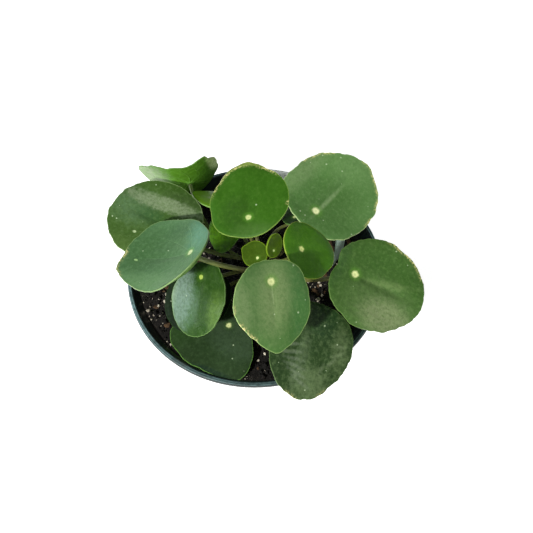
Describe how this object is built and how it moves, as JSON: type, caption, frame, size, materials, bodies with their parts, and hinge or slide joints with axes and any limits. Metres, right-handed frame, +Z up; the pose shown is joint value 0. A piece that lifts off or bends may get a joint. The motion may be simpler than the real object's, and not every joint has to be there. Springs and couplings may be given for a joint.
{
  "type": "potted pilea plant",
  "caption": "Small house plant with round peltate leaves on long stalks from a short woody trunk, in a tapered plastic nursery pot of soil with a blank plant label.",
  "frame": {"origin": "on the surface the pot stands on, under the middle of the pot, on the flat boss in the middle of its base", "axes": "+Z up along the pot's axis; -Y towards the picture's viewer, +X to the viewer's right"},
  "size_m": [0.1781, 0.1649, 0.1492],
  "materials": {
    "pot_plastic": "dark teal-grey moulded plastic with a dusty, slightly lighter rim",
    "potting_soil": "dark brown moist potting mix of peat, bark and perlite",
    "bark": "brown woody stem with leaf scars",
    "new_leaf": "pale yellow-green folded new leaf",
    "label_plastic": "pale grey blank plastic",
    "leaf_mature": "waxy deep green with a pale dot where the stalk joins, faint veins and a thin light margin",
    "stalk_mature": "smooth olive-brown stalk",
    "leaf_young": "waxy bright green with a pale dot where the stalk joins and a thin light margin",
    "stalk_young": "smooth light green stalk"
  },
  "bodies": {
    "root": {"pot": "pot_plastic", "soil": "potting_soil", "trunk": "bark", "growing_tip": "new_leaf", "plant_label": "label_plastic", "leaf_back_right_blade": "leaf_mature", "leaf_back_right_stalk": "stalk_mature", "leaf_right_blade": "leaf_mature", "leaf_right_stalk": "stalk_mature", "leaf_front_blade": "leaf_mature", "leaf_front_stalk": "stalk_mature", "leaf_inner_left_blade": "leaf_mature", "leaf_inner_left_stalk": "stalk_mature", "leaf_low_front_left_blade": "leaf_mature", "leaf_low_front_left_stalk": "stalk_mature", "leaf_front_right_blade": "leaf_mature", "leaf_front_right_stalk": "stalk_mature", "leaf_left_blade": "leaf_mature", "leaf_left_stalk": "stalk_mature", "leaf_back_left_blade": "leaf_mature", "leaf_back_left_stalk": "stalk_mature", "leaf_low_left_blade": "leaf_mature", "leaf_low_left_stalk": "stalk_mature", "leaf_crown_blade": "leaf_young", "leaf_crown_stalk": "stalk_young", "leaf_inner_right_blade": "leaf_young", "leaf_inner_right_stalk": "stalk_young", "leaf_youngest_left_blade": "leaf_young", "leaf_youngest_left_stalk": "stalk_young", "leaf_youngest_right_blade": "leaf_young", "leaf_youngest_right_stalk": "stalk_young", "leaf_inner_back_left_blade": "leaf_young", "leaf_inner_back_left_stalk": "stalk_young", "leaf_small_left_blade": "leaf_young", "leaf_small_left_stalk": "stalk_young", "leaf_behind_crown_blade": "leaf_young", "leaf_behind_crown_stalk": "stalk_young", "leaf_small_right_blade": "leaf_young", "leaf_small_right_stalk": "stalk_young", "leaf_back_turned_blade": "leaf_young", "leaf_back_turned_stalk": "stalk_young"}
  },
  "joints": []
}
